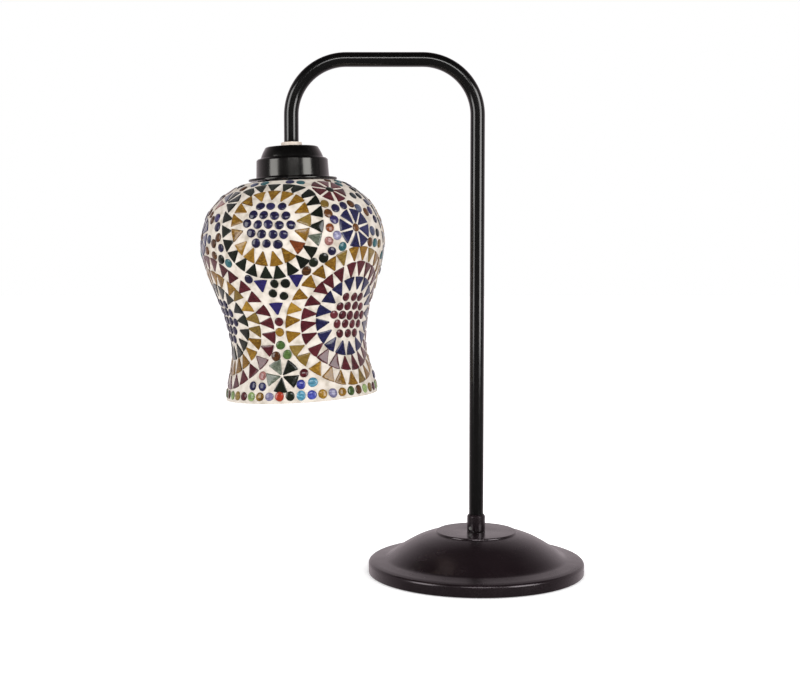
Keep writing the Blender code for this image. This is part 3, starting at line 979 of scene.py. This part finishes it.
def lay_medallions(mosaic):
    # Painted highlight: tile 7 of each upper medallion's dark green ring is grey green, a paler copy of the
    # dark green where a tile catches light
    grey = (7, "grey green")
    # The front medallion leaves two tiles out, where the flower to its left stands
    for turn, dark_odd in enumerate(((grey, (19, None), (20, None)), (grey,), (grey,))):
        upper_medallion(mosaic, math.radians(PATTERN_TURN + THIRD * turn), dark_odd)
    red_middle = (("maroon", "deep blue", "maroon", "amber"), LOWER_OUTER, (), (1, 14, 19, 20, 28))
    blue_middle = (("navy", "dark green", "amber", "maroon"), LOWER_OUTER_LEFT, (4, 6, 7), ())
    for turn, kind in enumerate((red_middle, red_middle, blue_middle)):
        lower_medallion(mosaic, math.radians(PATTERN_TURN + THIRD / 2 + THIRD * turn), *kind)


# Nuggets between the medallions of the front third: degrees from the front, drop, colour
LOOSE_DOTS = (
    (27.6, 23.8, "olive"), (34.5, 27.8, "navy"), (41.6, 25.8, "navy"), (49.0, 24.4, "brown"),
    (54.6, 28.2, "slate"), (61.6, 31.6, "brown"), (28.3, 32, "brown"), (31.4, 37.4, "violet"),
    (27.5, 44.1, "rust"), (31.8, 50.7, "lavender"), (26.1, 55.1, "rose"), (28.0, 63.6, "navy"),
    (35.2, 60.3, "teal"), (22.7, 68.9, "dark green"), (16.3, 72.2, "dark green"), (11.8, 78.8, "brown"),
    (62.4, 48, "slate"), (69.1, 49.8, "dark glass"), (58.6, 57.6, "brown"), (64.8, 58.4, "teal"),
    (71.4, 59.2, "olive"), (-52.1, 30.2, "violet"), (-49.2, 38, "navy"), (-46.9, 47, "brown"),
    (-51.7, 51.8, "brown"), (-44.3, 56, "navy"), (-52.5, 62, "brown"), (-46, 65.6, "dark green"),
    (-40, 69.1, "teal"), (-26.9, 83.2, "navy"), (-9.4, 88.0, "dark green"), (-2.1, 88.2, "dark green"),
    (-11.5, 96, "dark green"), (-4, 98.6, "dark green"), (-10.1, 120, "maroon"), (-10.5, 128.7, "amber"),
    (-10.9, 139.7, "green"), (-5.7, 147.7, "green"), (-15.4, 148.8, "brown"), (6.9, 163.6, "maroon"),
    (4.1, 172.8, "royal blue"), (13.1, 171.6, "cyan"), (-26.8, 164.5, "rose"), (-35.2, 173, "deep blue"),
    (-26.4, 173.6, "deep blue"),
)

# Blue tiles that point down between the medallions: degrees from the front, drop
POINTERS = ((-18.6, 89), (5.2, 86.1), (-10.5, 108.6))

# The row along the mouth: colours, and degrees from the front where they start, on round to the right
MOUTH_ROW = (
    "maroon", "light green", "amber", "lavender", "red", "dark green", "cyan", "royal blue", "amber",
    "lavender", "amber", "green", "brown", "light green", "olive",
)
MOUTH_START = -44.3
MOUTH_DROP = 182.0
MOUTH_DOTS = 45
LOOSE_DOT_R = 3.9


def lay_between(mosaic):
    blue = ["deep blue"] * 8
    red = ["maroon"] * 7
    green = ["dark green"] * 3 + ["grey green"] * 2
    mixed = ["dark glass", "dark glass", "dark green", "maroon", "rose", "rose", "slate"]
    pointer = [(0, -5.9), (-6.2, 4.6), (6.2, 4.6)]
    for around in (0, THIRD, 2 * THIRD):
        # Away from the front, a pointer or a nugget that would touch another tile is left out
        gap = 0.2 if around else None
        flower(mosaic, 46.4 + around, 44.8, blue, 4.2, 16.2, width=11.6, heart="brown", start=0.2)
        flower(mosaic, 39 + around, 11.4, red, 3.6, 14.6, width=11.4, heart="dark green", start=0.1)
        flower(mosaic, -10.3 + around, 165.2, green, 1.4, 13.4, width=12.4, heart=None, start=0.75)
        for angle, drop in POINTERS:
            mosaic.triangle("bright blue", math.radians(angle + around), arc_of(drop), pointer, 0.6, gap)
        for angle, drop, colour in LOOSE_DOTS:
            radius = LOOSE_DOT_R + chance.gauss(0, 0.15)
            mosaic.dot(colour, math.radians(angle + around), arc_of(drop), radius, gap)
    flower(mosaic, -50, 18.5, mixed, 2.4, 14.4, width=10.6, heart=None, start=0.22, gap=0.1)
    for index in range(MOUTH_DOTS):
        angle = math.radians(MOUTH_START + 360 / MOUTH_DOTS * index)
        colour = MOUTH_ROW[index % len(MOUTH_ROW)]
        mosaic.dot(colour, angle, arc_of(MOUTH_DROP), LOOSE_DOT_R + chance.gauss(0, 0.12))


def fill_gaps(mosaic):
    """Nuggets of any colour wherever one still fits, except on the front, where only its top is filled."""
    colours = ["navy", "brown", "maroon", "dark green", "slate", "olive", "dark glass", "teal", "deep blue"]
    front_from = 305
    front_to = 62
    front_top = 30
    gap = 0.9
    for radius, tries in ((3.8, 6000), (3.3, 4000)):
        for _ in range(tries):
            angle = chance.uniform(0, TURN)
            arc = chance.uniform(3.5, ARCS[-1] - 4.5)
            in_front = math.degrees(angle) < front_to or math.degrees(angle) > front_from
            if in_front and arc > front_top:
                continue
            mosaic.dot(chance.choice(colours), angle, arc, radius, gap)


def build_mosaic():
    finishes = {}
    for name, (glass, wisps) in GLASS.items():
        finishes[name] = tile_glass("glass " + name, linear(*glass), linear(*wisps))
    mosaic = Mosaic()
    lay_medallions(mosaic)
    lay_between(mosaic)
    fill_gaps(mosaic)
    mosaic.build(finishes)


# ---- CAD parts shown as they are ----
CAD_FINISHES = {
    "bottom_cover": zinc, "base_nipple": zinc, "base_nut": zinc, "base_washer": zinc, "grub_screw": zinc,
    "cord_grommet": rubber, "flex_base": cord, "flex_arm": cord, "flex_head": cord, "head_nipple": brass,
    "lock_washer": zinc, "lock_nut": zinc, "holder_core": porcelain, "centre_contact": brass,
    "screw_shell": brass, "shade_washer": fibre, "bulb_tip": brass, "bulb_insulator": dark_glass,
    "bulb_stem": bulb_clear,
}


def finish_cad_parts():
    for name, finish in CAD_FINISHES.items():
        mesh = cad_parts[name].data
        mesh.materials.clear()
        mesh.materials.append(finish)


# ---- Studio, in metres and degrees ----
LIT_SPOT = Vector((-0.07, 0, 0.24))
CAMERA_PLACE = (-0.0676, -1.1733, 0.286)
CAMERA_DIP = 4.03  # below the horizon
CAMERA_LENS = 60.12
SENSOR_WIDTH = 36


def add_light(name, azimuth, elevation, distance, width, height, power):
    """A softbox aimed at the lamp, seen from it at an azimuth to the right of the camera."""
    azimuth = math.radians(azimuth)
    elevation = math.radians(elevation)
    way = Vector((
        math.sin(azimuth) * math.cos(elevation), -math.cos(azimuth) * math.cos(elevation), math.sin(elevation)
    ))
    data = bpy.data.lights.new(name, "AREA")
    data.shape = "RECTANGLE"
    data.size = width
    data.size_y = height
    data.energy = power
    lamp = bpy.data.objects.new(name, data)
    lamp.location = LIT_SPOT + way * distance
    lamp.rotation_euler = (-way).to_track_quat("-Z", "Y").to_euler()
    lamp.visible_camera = False
    bpy.context.scene.collection.objects.link(lamp)
    return lamp


def build_floor():
    """A pale floor that glows so that it reads as white ground, less under the base to paint a contact
    shadow.
    """
    look = Finish("pale floor")
    look.colour(look.ramp(look.noise(60, 3), (0.3, (0.74, 0.74, 0.74)), (0.7, (0.77, 0.77, 0.77))))
    look.set(Roughness=0.6, Specular_IOR_Level=0.2, Emission_Color=(1, 1, 1, 1))
    away = look.nodes.new("ShaderNodeVectorMath")
    away.operation = "LENGTH"
    look.link(look.place, away.inputs[0])
    # Painted shadow: the glow is weaker within 96 mm of the base's middle and full from 120 mm out
    glow_and_painted_shadow = look.spread(away.outputs["Value"], low=0.45, high=0.95, start=0.096, end=0.12)
    look.link(glow_and_painted_shadow, look.shader.inputs["Emission Strength"])
    half = 7000
    level = -0.1
    corners = [(-half, -half, level), (half, -half, level), (half, half, level), (-half, half, level)]
    floor = new_object("floor", corners, [(0, 1, 2, 3)], look.material)
    floor.visible_glossy = False


def build_world():
    """White to the camera. As light, a dim room that is darker on the camera's side and overhead."""
    world = bpy.data.worlds.new("studio")
    bpy.context.scene.world = world
    tree = Tree(world)
    tree.nodes.clear()
    place = tree.nodes.new("ShaderNodeTexCoord")
    split = tree.nodes.new("ShaderNodeSeparateXYZ")
    tree.link(place.outputs["Generated"], split.inputs["Vector"])
    back = tree.spread(split.outputs["Y"], low=0, high=1, start=-1, end=1)
    up = tree.spread(split.outputs["Z"], low=0, high=1, start=-1, end=1)
    product = tree.nodes.new("ShaderNodeMix")
    product.data_type = "RGBA"
    product.blend_type = "MULTIPLY"
    product.inputs[0].default_value = 1.0
    tree.link(tree.ramp(back, (0.42, (0.12, 0.115, 0.115)), (0.85, (0.66, 0.58, 0.61))), product.inputs[6])
    tree.link(tree.ramp(up, (0.66, (1, 1, 1)), (0.92, (0.1, 0.1, 0.1))), product.inputs[7])
    room = tree.nodes.new("ShaderNodeBackground")
    tree.link(product.outputs[2], room.inputs["Color"])
    seen = tree.nodes.new("ShaderNodeBackground")
    seen.inputs["Color"].default_value = (1, 1, 1, 1)
    rays = tree.nodes.new("ShaderNodeLightPath")
    mix = tree.nodes.new("ShaderNodeMixShader")
    output = tree.nodes.new("ShaderNodeOutputWorld")
    tree.link(rays.outputs["Is Camera Ray"], mix.inputs["Fac"])
    tree.link(room.outputs["Background"], mix.inputs[1])
    tree.link(seen.outputs["Background"], mix.inputs[2])
    tree.link(mix.outputs["Shader"], output.inputs["Surface"])


def add_lights():
    add_light("left softbox", azimuth=-59, elevation=13, distance=1.6, width=0.74, height=1.1, power=11.2)
    add_light("right softbox", azimuth=50, elevation=13, distance=1.6, width=0.76, height=1.1, power=14.4)
    fill = add_light("overhead fill", azimuth=0, elevation=68, distance=1.7, width=1.4, height=1.4, power=18)
    fill.visible_glossy = False
    add_light("front strip", azimuth=4, elevation=27, distance=1.7, width=0.9, height=0.28, power=5.4)


def add_camera():
    data = bpy.data.cameras.new("camera")
    data.lens = CAMERA_LENS
    data.sensor_width = SENSOR_WIDTH
    camera = bpy.data.objects.new("camera", data)
    camera.location = CAMERA_PLACE
    camera.rotation_euler = (math.radians(90 - CAMERA_DIP), 0, 0)
    bpy.context.scene.collection.objects.link(camera)
    bpy.context.scene.camera = camera
    bpy.context.scene.view_settings.view_transform = "Standard"


build_base_shell()
build_stem_socket()
build_felt_disc()
build_cast_weight()
build_arm()
build_check_nut()
build_gallery()
build_holder_dome()
build_threaded_skirt()
build_ring()
build_bulb_cap()
build_bulb_envelope()
build_grout()
build_blown_glass()
build_mosaic()
finish_cad_parts()
build_floor()
build_world()
add_lights()
add_camera()
